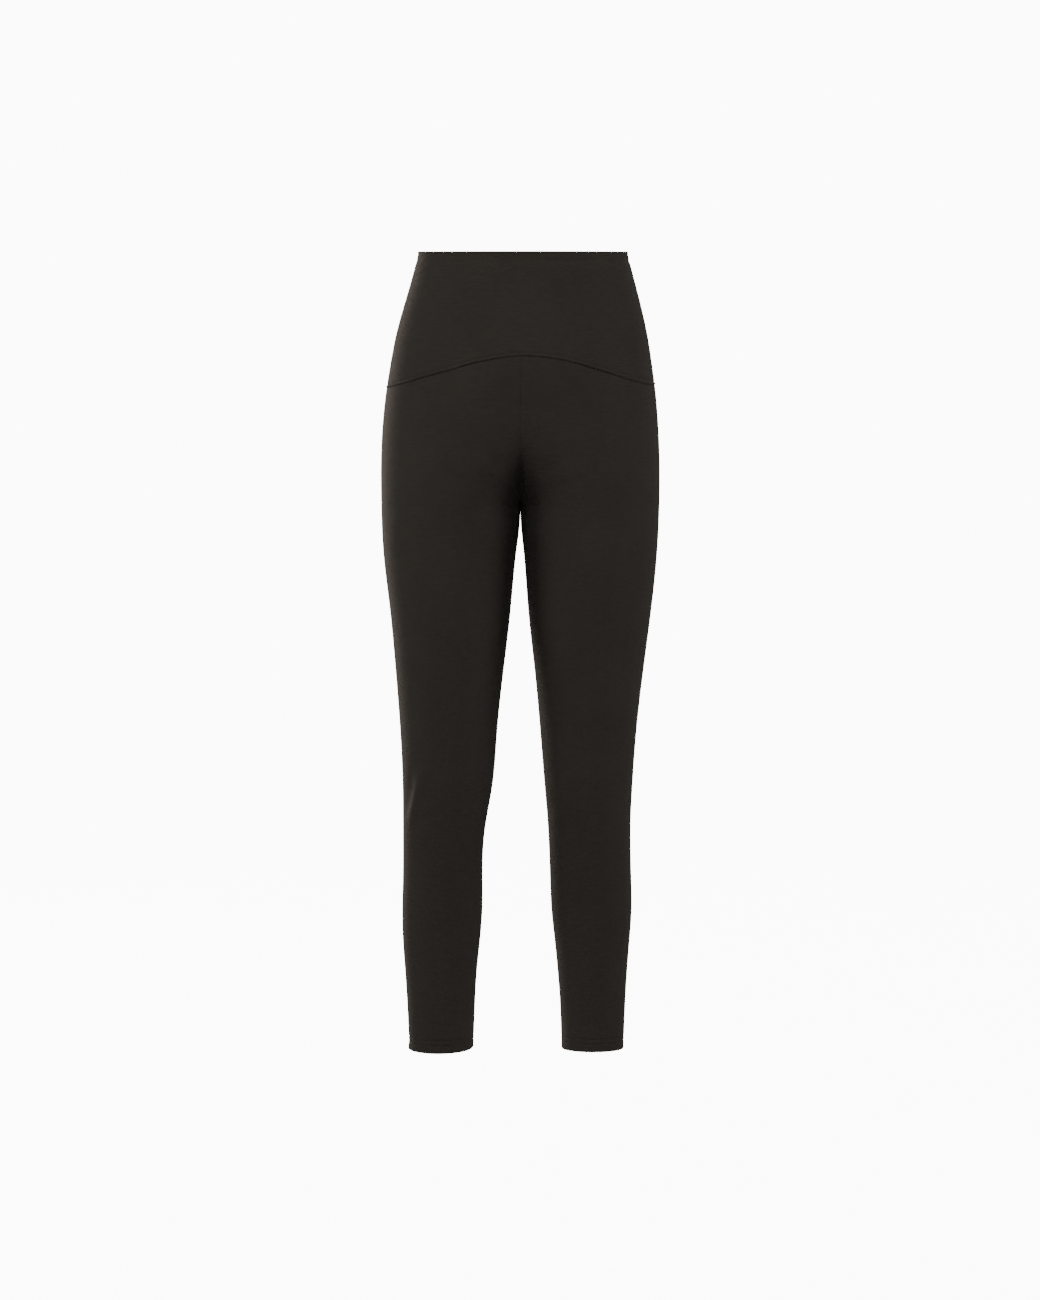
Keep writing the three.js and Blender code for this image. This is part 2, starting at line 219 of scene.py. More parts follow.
def leg_curves(leg):
    """The sizes of one leg, run together with those of the body above it, as functions of height."""
    body = [dict(zip(BODY_SIZES, row)) for row in BODY_SECTIONS]
    legs = [dict(zip(LEG_SIZES, row)) for row in LEG_SECTIONS]
    for row in legs:
        row["inner"] = row[leg + " inner"]
        row["outer"] = row[leg + " outer"]
        row["thigh"] = row["seat"] = (row["inner"] + row["outer"]) / 2
    whole = body + legs
    heights = [row["z"] for row in whole]
    sizes = ("outer", "front", "back", "thigh", "seat", "side")
    curves = {size: smooth_curve(heights, [row[size] for row in whole]) for size in sizes}
    curves["lean"] = smooth_curve([row["z"] for row in body], [row["lean"] for row in body])
    inseam = [{"z": CROTCH_Z, "inner": 0}, {"z": CROTCH_Z - THIGHS_TOUCH, "inner": 0}] + legs
    curves["inner"] = smooth_curve([row["z"] for row in inseam], [row["inner"] for row in inseam])
    return curves


CURVES = {leg: leg_curves(leg) for leg in WEARER_SIDE}

# Heights at which the sections are worked out, closer together towards the crotch
body_levels = CROTCH_Z * (1 - np.linspace(1, 0, 400) ** 2)
leg_levels = np.linspace(CROTCH_Z, LEG_SECTIONS[-1][0], 420)
LEVELS = np.concatenate([body_levels[:-1], leg_levels])


def signed_power(value, power):
    return np.sign(value) * np.abs(value) ** power


def section(leg, panel, z, gap):
    """One panel's part of a horizontal section, as the distances from the centre line and the depths
    from the side seam, evenly spaced along the cloth, with the section's length and the length
    that the centre seam cuts off it."""
    curves = CURVES[leg]
    above = z > CROTCH_Z
    height = max(0, z - CROTCH_Z)
    fullness = LEG_FULLNESS + (WAIST_FULLNESS - LEG_FULLNESS) * height / -CROTCH_Z
    outer = curves["outer"](z)
    deepest = curves["thigh" if panel == "front" else "seat"](z)
    depth = abs(curves[panel](z) - curves["side"](z))
    seam = CENTRE_SEAM[panel]
    up = min(height / seam["rise"], 1) ** CREASE_POWER
    centre_share = min(math.sqrt(1 - (1 - up) ** seam["curl"]), FLATTEST_CENTRE)
    crease_angle = math.asin(centre_share ** (fullness / 2))
    softness = CREASE_SOFTNESS * height * math.cos(crease_angle)
    start = math.hypot(softness, gap) if above else max(curves["inner"](z), 0)
    inner_reach = deepest / math.cos(crease_angle) ** (2 / fullness) if above else deepest - start
    start_share = np.clip((deepest - start) / inner_reach, -1, 1)
    start_angle = max(math.acos(signed_power(start_share, fullness / 2)), gap / depth)
    widen = outer / math.sqrt(outer**2 - softness**2)
    angle = np.linspace(start_angle, math.pi - HALF_GAP / depth, CURVE_STEPS)
    reach = np.where(angle < math.pi / 2, inner_reach, outer - deepest)
    wide = deepest - reach * signed_power(np.cos(angle), 2 / fullness)
    x = widen * np.sqrt(np.maximum(wide**2 - softness**2, gap**2 if above else 0))
    y = depth * np.sin(angle) ** (2 / fullness)
    lengths = np.concatenate([[0], np.cumsum(np.hypot(np.diff(x), np.diff(y)))])
    even = np.linspace(0, lengths[-1], CURVE_STEPS)
    cut_off = math.hypot(inner_reach - deepest, y[0]) if above else 0
    fade = 1 - min(height / (YOKE_BACK_Z - CROTCH_Z), 1) ** 2
    lost = fade * cut_off / math.hypot(1, cut_off / MOST_LOST)
    return np.interp(even, lengths, x), np.interp(even, lengths, y), lengths[-1], lost


def sections(leg, panel, gap):
    """Every section of a panel, and how to find the cloth's face by height and distance out."""
    rows = [section(leg, panel, z, gap) for z in LEVELS]
    x = np.array([row[0] for row in rows])
    y = np.array([row[1] for row in rows])
    lengths = np.array([row[2] for row in rows])
    lost = np.array([row[3] for row in rows])

    def length_at(z):
        return np.interp(-z, -LEVELS, lengths)

    def lost_at(z):
        return np.interp(-z, -LEVELS, lost)

    def face_at(z, out):
        row = np.clip(np.searchsorted(-LEVELS, -z) - 1, 0, len(LEVELS) - 2)
        down = np.clip((LEVELS[row] - z) / (LEVELS[row] - LEVELS[row + 1]), 0, 1)
        step = np.clip(out / length_at(z), 0, 1) * (CURVE_STEPS - 1)
        column = np.clip(step.astype(int), 0, CURVE_STEPS - 2)
        along = step - column

        def between(table):
            upper = table[row, column] * (1 - along) + table[row, column + 1] * along
            lower = table[row + 1, column] * (1 - along) + table[row + 1, column + 1] * along
            return upper * (1 - down) + lower * down

        across = CURVES[leg]["lean"](z) + WEARER_SIDE[leg] * between(x)
        forward = -1 if panel == "front" else 1
        return np.stack([across, CURVES[leg]["side"](z) + forward * between(y), z], axis=-1)

    return length_at, lost_at, face_at


def distances_out(length, lost):
    """How far out from the centre seam or inseam each column lies: close together at the seams, and
    evenly between them but where the centre seam curls under the body."""
    edge = len(SEAM_STEPS)
    share = 1 - np.linspace(0, 1, PANEL_COLUMNS)[None, :]
    long, gone = length[:, edge:-edge], lost[:, edge:-edge]
    even = long - (share * (long + gone) - gone * share**3)
    even = PANEL_EDGE + even * (long - 2 * PANEL_EDGE) / long
    near = np.broadcast_to(SEAM_STEPS, (len(length), edge))
    return np.concatenate([near, even, length[:, -edge:] - near[:, ::-1]], axis=1)


def waves(at, table):
    """The sum of the waves in a table, at each place."""
    return sum(size * np.sin(at * rate + start) for size, rate, start in table)


def yoke_seam_z(leg, panel, across):
    """Height of the yoke seam: arched in front, about level round the back, a little uneven."""
    wander = waves(across, YOKE_SEAM_WANDER)
    arch = YOKE_ARCH[leg]
    across = np.clip(across, 0, 1)
    if panel == "back":
        return YOKE_BACK_Z + (arch["side"] - YOKE_BACK_Z) * across**2 + wander
    drop = 1 - (1 - across ** arch["top"]) ** arch["ends"]
    return YOKE_FRONT_Z + (arch["side"] - YOKE_FRONT_Z) * drop + wander


def hem_z(leg, panel, across):
    """Height of a hem's edge."""
    hem = HEMS[leg]
    shin = hem["shin lift"] * np.sin(across * math.pi) if panel == "front" else 0
    return hem["z"] + hem["inseam lift"] * (1 - across) + shin


def hem_rows():
    """Heights above the hem's edge of the rows that follow its stitches."""
    rows = set(np.linspace(HEM_DETAIL, FOLD_RADIUS, 10)[1:])
    for stitches in HEM_STITCH_ROWS:
        rows |= {stitches + aside for aside in STITCH_STEPS}
    return sorted(rows, reverse=True)


def roll(distance, radius):
    """How far a cloth edge has rolled in, at a distance from its seam."""
    return radius - np.sqrt(radius**2 - np.clip(radius - distance, 0, radius) ** 2)


def plateau(distance, width, soft=1.5):
    """1 within a width of the seam and 0 past it, with a soft step."""
    return 1 / (1 + np.exp((distance - width) / soft * 2))


def fold_relief(name, out, z):
    """How far the soft folds of a panel stand above its cloth, or lie below it where it's negative."""
    relief = np.zeros_like(out)
    for row in FOLDS:
        fold = dict(zip(FOLD_SIZES, row))
        if fold["panel"] != name:
            continue
        run = np.subtract(fold["end"], fold["start"])
        length = np.hypot(*run)
        away = (out - fold["start"][0], z - fold["start"][1])
        along = (away[0] * run[0] + away[1] * run[1]) / length**2
        aside = (away[1] * run[0] - away[0] * run[1]) / length
        aside = (aside + FOLD_BOW * length * (along - along**2)) / fold["width"]
        ends = np.exp(-(((along - 0.5) / FOLD_HALF_LENGTH) ** 4))
        trough = np.exp(-(aside**2))
        crest = np.exp(-(((aside - FOLD_CREST["aside"]) / FOLD_CREST["width"]) ** 2))
        relief -= fold["depth"] * ends * (trough - FOLD_CREST["height"] * crest)
    return relief


def centre_relief(panel, out, z):
    """The hollows along the centre front, or behind, between the two legs."""
    relief = np.zeros_like(out)
    for hollow in (FRONT_VALLEY, CROTCH_CREASE) if panel == "front" else (CROTCH_CREASE,):
        across = np.exp(-((out / hollow["width"]) ** 2))
        down = np.exp(-(((z - hollow["middle"]) / hollow["reach"]) ** 2))
        relief -= hollow["depth"] * across * down * np.clip((z - CROTCH_Z) / CREASE_FADE, 0, 1)
    return relief


def inward_normals(points, facing):
    """The inward normals of a grid of points. `facing` is 1 where the columns run to the wearer's left
    on the front, or to the right on the back."""
    across = np.gradient(points, axis=1)
    down = np.gradient(points, axis=0)
    return facing * np.cross(across, down)


def unit(vectors):
    return vectors / np.linalg.norm(vectors, axis=-1, keepdims=True)


def turned_edge(face, inward, rows_inside, up):
    """The cloth past an edge that is turned in: round the fold, and back along the inside. The rows of
    `face` end at the fold. `up` is the way the fold points, 1 for up and -1 for down."""
    angles = np.linspace(0, math.pi, FOLD_STEPS + 2)[1:-1]
    tip = np.array([0, 0, up])
    face_rows = []
    back_rows = []
    for angle in angles:
        for rows, radius in ((face_rows, FOLD_RADIUS), (back_rows, FOLD_RADIUS - CLOTH)):
            middle = face[-1] + inward[-1] * FOLD_RADIUS
            rows.append(middle + radius * (tip * math.sin(angle) - inward[-1] * math.cos(angle)))
    for row in rows_inside:
        face_rows.append(face[row] + inward[row] * 2 * FOLD_RADIUS)
        back_rows.append(face[row] + inward[row] * (2 * FOLD_RADIUS - CLOTH))
    return np.array(face_rows), np.array(back_rows)


def cloth_piece(name, face, back, flat_places, flip):
    """A closed layer of cloth between its face and its back, with a UV map in metres."""
    rows, columns = face.shape[:2]
    index = np.arange(rows * columns).reshape(rows, columns)

    corners = np.stack([index[:-1, :-1], index[:-1, 1:], index[1:, 1:], index[1:, :-1]], axis=-1)
    outer = corners.reshape(-1, 4)
    inner = outer[:, ::-1] + rows * columns
    edges = []
    for line, way in ((index[0], 1), (index[-1], -1), (index[:, 0], -1), (index[:, -1], 1)):
        under = line + rows * columns
        rim = np.stack([line[:-1], under[:-1], under[1:], line[1:]], axis=-1)
        edges.append(rim[:, ::way])
    quads = np.concatenate([outer, inner] + edges)
    if flip:
        quads = quads[:, ::-1]
    mesh = bpy.data.meshes.new(name)
    points = np.concatenate([face.reshape(-1, 3), back.reshape(-1, 3)]) * MM
    mesh.from_pydata(points.tolist(), [], quads.tolist())
    mesh.polygons.foreach_set("use_smooth", np.ones(len(quads), bool))
    sides = np.ones(len(quads), int)
    sides[: len(outer)] = 0
    mesh.polygons.foreach_set("material_index", sides)
    places = np.concatenate([flat_places.reshape(-1, 2)] * 2) * MM
    used = np.empty(len(mesh.loops), int)
    mesh.loops.foreach_get("vertex_index", used)
    cloth_map = mesh.uv_layers.new(name="cloth")
    cloth_map.data.foreach_set("uv", places[used].ravel())
    mesh.validate()
    piece = bpy.data.objects.new(name, mesh)
    bpy.context.collection.objects.link(piece)
    return piece


def leg_panel(leg, panel):
    """A leg panel's grids: from the yoke seam, past the crotch, to the hem's fold."""
    length_at, lost_at, face_at = sections(leg, panel, HALF_GAP)
    hip_length = float(length_at(np.array(YOKE_BACK_Z)))
    columns = len(SEAM_STEPS) * 2 + PANEL_COLUMNS
    across = distances_out(np.full((1, columns), hip_length), np.zeros((1, columns)))[0] / hip_length
    top = yoke_seam_z(leg, panel, across) - HALF_GAP
    hem = hem_z(leg, panel, across)
    rows = [top - step for step in SEAM_STEPS]
    for i in range(SEAT_ROWS):
        rows.append(CROTCH_Z + (top - PANEL_EDGE - CROTCH_Z) * (1 - i / SEAT_ROWS) ** SEAT_PACKING)
    for i in range(LEG_ROWS):
        rows.append(CROTCH_Z + (hem + HEM_DETAIL - CROTCH_Z) * (i / LEG_ROWS) ** LEG_PACKING)
    rows += [hem + height for height in [HEM_DETAIL] + hem_rows()]
    z = np.array(rows)
    length = length_at(z)
    out = distances_out(length, lost_at(z))
    base = face_at(z, out)
    facing = WEARER_SIDE[leg] * (1 if panel == "front" else -1)
    inward = inward_normals(base, facing)
    above = z[:, 0] > CROTCH_Z + 0.01
    inward[above, 0, 0] = 0
    inward[~above, 0, 1] = 0
    inward[:, -1, 1] = 0
    inward = unit(inward)
    hem_height = z - hem
    ridge = plateau(length - out, ALLOWANCE) * (panel == "back")
    from_crotch = np.clip(np.abs(z - CROTCH_Z) / CREASE_FADE - 0.5, 0, 1)
    on_this_panel = np.where(above[:, None], leg == "left", panel == "back")
    ridge = ridge + plateau(out, ALLOWANCE) * from_crotch * on_this_panel
    drape = ALLOWANCE_RIDGE * ridge + fold_relief(f"{leg}_leg_{panel}", out, z)
    drape = drape + centre_relief(panel, out, z)
    if leg == "right":
        near_hem = np.exp(-((np.clip(hem_height, 0, None) / HEM_FLARE["above"]) ** 2))
        near_side = np.exp(-(((length - out) / HEM_FLARE["reach"]) ** 2))
        drape = drape + HEM_FLARE["out"] * near_hem * near_side
    inner_roll = np.where(above[:, None], roll(out, CENTRE_ROLL), roll(out, SEAM_ROLL))
    detail = -np.maximum.reduce([inner_roll, roll(length - out, SEAM_ROLL), roll(top - z, SEAM_ROLL)])
    for height in HEM_STITCH_ROWS:
        groove = np.exp(-(((hem_height - height) / STITCH_GROOVE["width"]) ** 2))
        detail = detail - STITCH_GROOVE["depth"] * groove
    laid = base - inward * drape[..., None]
    face = laid - inward * detail[..., None]
    back = laid + inward * CLOTH
    turned = [i for i in range(len(z) - 1, 0, -1) if hem_height[i, 0] <= HEM_TURN + 0.01]
    turned_face, turned_back = turned_edge(face, inward, turned[::2], -1)
    places = np.stack([out - length / 2, z], axis=-1)
    mirrored = 2 * hem[None, :] - z[turned[::2]]
    turned_places = np.stack([places[turned[::2], :, 0], mirrored], axis=-1)
    at_fold = np.stack([places[-1:, :, 0], hem[None]], axis=-1)
    fold_places = np.repeat(at_fold, FOLD_STEPS, 0)
    return {
        "face": np.concatenate([face, turned_face]),
        "back": np.concatenate([back, turned_back]),
        "places": np.concatenate([places, fold_places, turned_places]),
        "laid": laid,
        "inward": inward,
        "out": out,
        "z": z,
        "hem height": hem_height,
        "length": length,
        "flip": facing > 0,
    }


# The knit: a near-black, warm brown double knit, matte, with a short nap that lights up at the
# edges. Fine wales run down each panel, and the dye is a little uneven.
KNIT_COLOR = (0.0215, 0.0177, 0.0146)
KNIT_LIGHTER = (0.0270, 0.0224, 0.0187)
BACK_COLOR = (0.0190, 0.0158, 0.0131)
BACK_LIGHTER = (0.0230, 0.0192, 0.0161)
NAP_COLOR = (1.0, 0.93, 0.86)
WALE = 0.0011  # metres from one wale to the next
COURSE = 0.0009


def add_node(tree, kind, place, **settings):
    node = tree.nodes.new(kind)
    node.location = place
    for name, value in settings.items():
        setattr(node, name, value)
    return node


def math_node(tree, operation, place, first, second=None):
    """A Math node whose inputs are sockets or numbers."""
    node = add_node(tree, "ShaderNodeMath", place, operation=operation)
    for socket, value in zip(node.inputs, (first, second)):
        if isinstance(value, bpy.types.NodeSocket):
            tree.links.new(value, socket)
        elif value is not None:
            socket.default_value = value
    return node.outputs[0]


def knit_group():
    """Wales and courses of a knit, as a height, and the unevenness of its dye, as a mask."""
    tree = bpy.data.node_groups.new("knit wales and dye", "ShaderNodeTree")
    for name in ("Wale", "Course"):
        tree.interface.new_socket(name=name, in_out="INPUT", socket_type="NodeSocketFloat")
    for name in ("Height", "Dye"):
        tree.interface.new_socket(name=name, in_out="OUTPUT", socket_type="NodeSocketFloat")
    start = add_node(tree, "NodeGroupInput", (-900, 0))
    end = add_node(tree, "NodeGroupOutput", (700, 0))
    flat = add_node(tree, "ShaderNodeUVMap", (-900, 300), uv_map="cloth")
    split = add_node(tree, "ShaderNodeSeparateXYZ", (-720, 300))
    tree.links.new(flat.outputs["UV"], split.inputs[0])
    wales = math_node(tree, "DIVIDE", (-540, 360), split.outputs["X"], start.outputs["Wale"])
    courses = math_node(tree, "DIVIDE", (-540, 180), split.outputs["Y"], start.outputs["Course"])
    column = math_node(tree, "PINGPONG", (-360, 360), wales, 0.5)
    slanted = math_node(tree, "ADD", (-180, 200), courses, column)
    turns = math_node(tree, "MULTIPLY", (0, 200), slanted, 2 * math.pi)
    loops = math_node(tree, "SINE", (160, 200), turns)
    low = math_node(tree, "MULTIPLY", (320, 200), loops, 0.18)
    height = math_node(tree, "ADD", (480, 260), column, low)
    tree.links.new(height, end.inputs["Height"])
    streaks = add_node(tree, "ShaderNodeMapping", (-720, -200))
    streaks.inputs["Scale"].default_value = (60, 420, 1)
    tree.links.new(flat.outputs["UV"], streaks.inputs["Vector"])
    fine = add_node(tree, "ShaderNodeTexNoise", (-540, -200))
    fine.inputs["Scale"].default_value = 1
    fine.inputs["Detail"].default_value = 3
    tree.links.new(streaks.outputs[0], fine.inputs["Vector"])
    body = add_node(tree, "ShaderNodeTexCoord", (-720, -420))
    broad = add_node(tree, "ShaderNodeTexNoise", (-540, -420))
    broad.inputs["Scale"].default_value = 14
    broad.inputs["Detail"].default_value = 4
    tree.links.new(body.outputs["Object"], broad.inputs["Vector"])
    both = math_node(tree, "ADD", (-340, -300), fine.outputs["Fac"], broad.outputs["Fac"])
    dye = math_node(tree, "MULTIPLY", (-160, -300), both, 0.5)
    tree.links.new(dye, end.inputs["Dye"])
    return tree


KNIT_GROUP = knit_group()


def knit_material(name, color, lighter, relief, nap):
    """A knit's finish: its colour, how deep its wales are, and how much nap it has."""
    material = bpy.data.materials.new(name)
    material.use_nodes = True
    tree = material.node_tree
    shader = tree.nodes["Principled BSDF"]
    knit = add_node(tree, "ShaderNodeGroup", (-700, 0), node_tree=KNIT_GROUP)
    knit.inputs["Wale"].default_value = WALE
    knit.inputs["Course"].default_value = COURSE
    tone = add_node(tree, "ShaderNodeMapRange", (-480, 200))
    tone.inputs["From Min"].default_value = 0.35
    tone.inputs["From Max"].default_value = 0.65
    tree.links.new(knit.outputs["Dye"], tone.inputs["Value"])
    blend = add_node(tree, "ShaderNodeMix", (-260, 200), data_type="RGBA")
    blend.inputs["A"].default_value = (*color, 1)
    blend.inputs["B"].default_value = (*lighter, 1)
    tree.links.new(tone.outputs["Result"], blend.inputs["Factor"])
    tree.links.new(blend.outputs["Result"], shader.inputs["Base Color"])
    rough = add_node(tree, "ShaderNodeMapRange", (-260, -60))
    rough.inputs["To Min"].default_value = 0.82
    rough.inputs["To Max"].default_value = 0.94
    tree.links.new(knit.outputs["Dye"], rough.inputs["Value"])
    tree.links.new(rough.outputs["Result"], shader.inputs["Roughness"])
    bump = add_node(tree, "ShaderNodeBump", (-260, -300))
    bump.inputs["Strength"].default_value = 0.6
    bump.inputs["Distance"].default_value = relief
    tree.links.new(knit.outputs["Height"], bump.inputs["Height"])
    tree.links.new(bump.outputs["Normal"], shader.inputs["Normal"])
    shader.inputs["Specular IOR Level"].default_value = 0.15
    shader.inputs["Sheen Weight"].default_value = nap
    shader.inputs["Sheen Roughness"].default_value = 0.3
    shader.inputs["Sheen Tint"].default_value = (*NAP_COLOR, 1)
    return material


KNIT_FACE = knit_material("knit face", KNIT_COLOR, KNIT_LIGHTER, 0.0004, 0.03)
KNIT_BACK = knit_material("knit back", BACK_COLOR, BACK_LIGHTER, 0.0003, 0.02)


def dress(piece, node, sewn_on):
    """Gives a cut piece its finish and its body. `sewn_on`, what is sewn on it, is not used."""
    piece.data.materials.append(KNIT_FACE)
    piece.data.materials.append(KNIT_BACK)
    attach(piece, "root")
    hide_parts(node)


# The seam allowances: the edges of the two pieces that a seam joins, overlocked together inside the
# garment and pressed to one side. Each is a strip of the same knit, sewn on the panel it lies on.
ALLOWANCE_STEPS = (0, 0.15, 0.4, 0.9, 1.8, 3, 4.5, 5.8, 6.7, 7)
ALLOWANCE_DEPTHS = (1.35, 2.5)  # how far its two sides lie inside the panel's face
ALLOWANCE_GAP = 0.6  # between an allowance and what it ends at
SEAM_COVER = 0.4  # how far an allowance reaches past its seam, so that no light comes through


def allowance(name, laid, inward, distance, along):
    """A seam's two allowances, overlocked together, inside the cloth. Rows of the grids run along the
    seam, and each begins at it; `distance` is how far each point is from the seam."""
    def at_steps(grid):
        rows = []
        for far, row in zip(distance, grid):
            rows.append([np.interp(ALLOWANCE_STEPS, far, row[:, i]) for i in range(3)])
        return np.array(rows).swapaxes(1, 2)

    points, normals = at_steps(laid), unit(at_steps(inward))
    aside = points[:, 1] - points[:, 0]
    aside = unit(aside - normals[:, 0] * (aside * normals[:, 0]).sum(-1, keepdims=True))
    points = np.concatenate([points[:, :1] - aside[:, None] * SEAM_COVER, points], axis=1)
    normals = np.concatenate([normals[:, :1], normals], axis=1)
    outer, inner = [points + normals * depth for depth in ALLOWANCE_DEPTHS]
    facing = np.cross(outer[:, 4] - outer[:, 3], np.gradient(outer[:, 3], axis=0))
    flips = (facing * normals[:, 3]).sum() > 0
    across = np.broadcast_to((-SEAM_COVER, *ALLOWANCE_STEPS), outer.shape[:2])
    places = np.stack([across, np.broadcast_to(along[:, None], outer.shape[:2])], axis=-1)
    strip = cloth_piece(name, outer, inner, places, flips)
    strip.data.materials.append(KNIT_BACK)
    strip.data.materials.append(KNIT_BACK)
    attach(strip, "root")
    return strip


def leg_allowances(leg, panel, grids):
    """The allowances on a leg panel: of the side seam and inseam on a back, and of the rise seam on
    the wearer's left."""
    laid, inward, out, z = [grids[key] for key in ("laid", "inward", "out", "z")]
    to_side = (grids["length"] - out)[:, ::-1]
    above_hem = grids["hem height"][:, 0] > HEM_TURN + ALLOWANCE_GAP
    above_crotch = z[:, 0] > CROTCH_Z + ALLOWANCE_GAP
    below_crotch = z[:, 0] < CROTCH_Z - ALLOWANCE_GAP
    strips = []
    for seam, wanted, rows, grid, normals, distance in (
        ("side_seam", panel == "back", above_hem, laid[:, ::-1], inward[:, ::-1], to_side),
        ("inseam", panel == "back", above_hem & below_crotch, laid, inward, out),
        ("rise_seam", leg == "left", above_crotch, laid, inward, out),
    ):
        if wanted:
            name = f"{leg}_leg_{panel}_{seam}_allowance"
            strips.append(allowance(name, grid[rows], normals[rows], distance[rows], z[rows, 0]))
    return strips


# The hems' stitches: two rows of a near-black polyester thread, sewn at once with a twin needle. On
# the outside each row is a line of short stitches, and a looper thread zigzags between them inside.
THREAD_COLOR = (0.012, 0.0105, 0.0095)
THREAD = 0.19  # radius of the thread
STITCH = {"length": 2.5, "pitch": 3.1, "raise": 0.04}
LOOPER_THREAD = 0.14  # radius of the thread inside

THREAD_LOOK = bpy.data.materials.new("thread")
THREAD_LOOK.use_nodes = True
thread_tree = THREAD_LOOK.node_tree
thread_shader = thread_tree.nodes["Principled BSDF"]
thread_shader.inputs["Base Color"].default_value = (*THREAD_COLOR, 1)
thread_shader.inputs["Specular IOR Level"].default_value = 0.3
ply = add_node(thread_tree, "ShaderNodeTexNoise", (-600, 0))
ply.inputs["Scale"].default_value = 900
thread_place = add_node(thread_tree, "ShaderNodeTexCoord", (-800, 0))
thread_tree.links.new(thread_place.outputs["Object"], ply.inputs["Vector"])
thread_rough = add_node(thread_tree, "ShaderNodeMapRange", (-300, 0))
thread_rough.inputs["To Min"].default_value = 0.45
thread_rough.inputs["To Max"].default_value = 0.75
thread_tree.links.new(ply.outputs["Fac"], thread_rough.inputs["Value"])
thread_tree.links.new(thread_rough.outputs["Result"], thread_shader.inputs["Roughness"])

bpy.ops.object.select_all(action="DESELECT")
bpy.ops.mesh.primitive_uv_sphere_add(segments=8, ring_count=6, radius=1, location=(0, 0, 0),
                                     rotation=(0, math.pi / 2, 0))
stitch = bpy.context.object
stitch.name = "one_stitch"
bpy.ops.object.transform_apply(rotation=True)
bpy.ops.object.shade_smooth()
stitch.data.materials.append(THREAD_LOOK)


def sewn(name, places):
    """Copies of the one stitch, joined. Each place is a middle, a half length along it, the way out of
    the cloth and the thread's radius, in mm."""
    copies = []
    for middle, half, outward, radius in places:
        along = unit(half)
        aside = unit(np.cross(outward, along))
        turn = np.column_stack([half, aside * radius, np.cross(along, aside) * radius]) * MM
        copy = stitch.copy()
        copy.data = stitch.data.copy()
        bpy.context.collection.objects.link(copy)
        copy.matrix_world = Matrix([(*turn[i], middle[i] * MM) for i in range(3)] + [(0, 0, 0, 1)])
        copies.append(copy)
    bpy.ops.object.select_all(action="DESELECT")
    for copy in copies:
        copy.select_set(True)
    bpy.context.view_layer.objects.active = copies[0]
    bpy.ops.object.join()
    joined = bpy.context.object
    bpy.ops.object.transform_apply(location=True, rotation=True, scale=True)
    joined.name = name
    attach(joined, "root")
    return joined


def hem_stitches(name, grids):
    """The stitches of a leg panel's hem, outside and inside."""
    height = grids["hem height"][:, 0]
    lines = []
    for row_height in HEM_STITCH_ROWS:
        row = int(np.argmin(np.abs(height - row_height)))
        points, inward = grids["face"][row], grids["inward"][row]
        run = np.concatenate([[0], np.cumsum(np.linalg.norm(np.diff(points, axis=0), axis=1))])
        count = int(run[-1] / STITCH["pitch"])
        middles = (np.arange(count * 2 + 1) / 2 + 0.25) * run[-1] / (count + 0.5)
        line = []
        for grid in (points, inward):
            line.append(np.stack([np.interp(middles, run, grid[:, i]) for i in range(3)], axis=-1))
        lines.append(line)
    places = []
    for points, inward in lines:
        for i in range(1, len(points) - 1, 2):
            way = unit(points[i + 1] - points[i - 1])
            out = -unit(inward[i])
            middle = points[i] + out * STITCH["raise"]
            places.append((middle, way * STITCH["length"] / 2, out, THREAD))
    (low, low_inward), (high, high_inward) = lines
    depth = 2 * FOLD_RADIUS + LOOPER_THREAD / 2
    for i in range(1, min(len(low), len(high)) - 1):
        first, last = (low, high) if i % 2 else (high, low)
        start = first[i - 1] + unit(low_inward[i - 1]) * depth
        end = last[i] + unit(low_inward[i]) * depth
        places.append(((start + end) / 2, (end - start) / 2, -unit(low_inward[i]), LOOPER_THREAD))
    return sewn(name + "_hem_stitches", places)


CLOTH_GRIDS = ("face", "back", "places", "flip")
for leg in ("left", "right"):
    for panel in ("front", "back"):
        name = f"{leg}_leg_{panel}"
        grids = leg_panel(leg, panel)
        piece = cloth_piece(name + "_cloth", *[grids[key] for key in CLOTH_GRIDS])
        sewn_on = leg_allowances(leg, panel, grids) + [hem_stitches(name, grids)]
        dress(piece, name, sewn_on)
bpy.data.objects.remove(stitch)


# The two yokes: a front and a back piece of the same knit, one layer deep, from the turned waist
# edge to the yoke seam. Each is sewn to the other at the side seams, and its lower edge is rolled
# over the allowance of the yoke seam, which makes a fine ridge.
WAIST_TURN = 12
WAIST_STEPS = (1.4, 1.8, 2.3, 2.8, 3.4, 4.2, 5.5, 7, 9, 11, 13, 15.5, 18)  # rows below its edge
WAIST_DETAIL = 20  # depth below the edge where the even rows begin
YOKE_ROWS = 36
YOKE_RIDGE = {"height": 1, "above": 2, "width": 1}
YOKE_RIDGE_WAVES = ((0.2, 1 / 11, 0), (0.15, 1 / 5.3, 1))
YOKE_ROLL = 0.6
# Rows above the yoke seam
YOKE_STEPS = (0, 0.15, 0.35, 0.6, 0.9, 1.2, 1.6, 2, 2.5, 3, 3.5, 3.9, 4.2, 4.5, 4.9)
YOKE_LINE = {"above": 4.2, "width": 0.7, "depth": 0.3}  # where the ridge ends
WAIST_SAG = 1  # how far the waist edge sags at the centre front
WAIST_DIP = {"below": 11, "width": 3.2, "depth": 1.1}  # where the turned edge ends
WAIST_DIP_WAVES = ((0.45, 1 / 60, 0.2),)
WAIST_LIP = {"out": 0.75, "width": 1.7}  # how the fold of the waist edge rolls outward


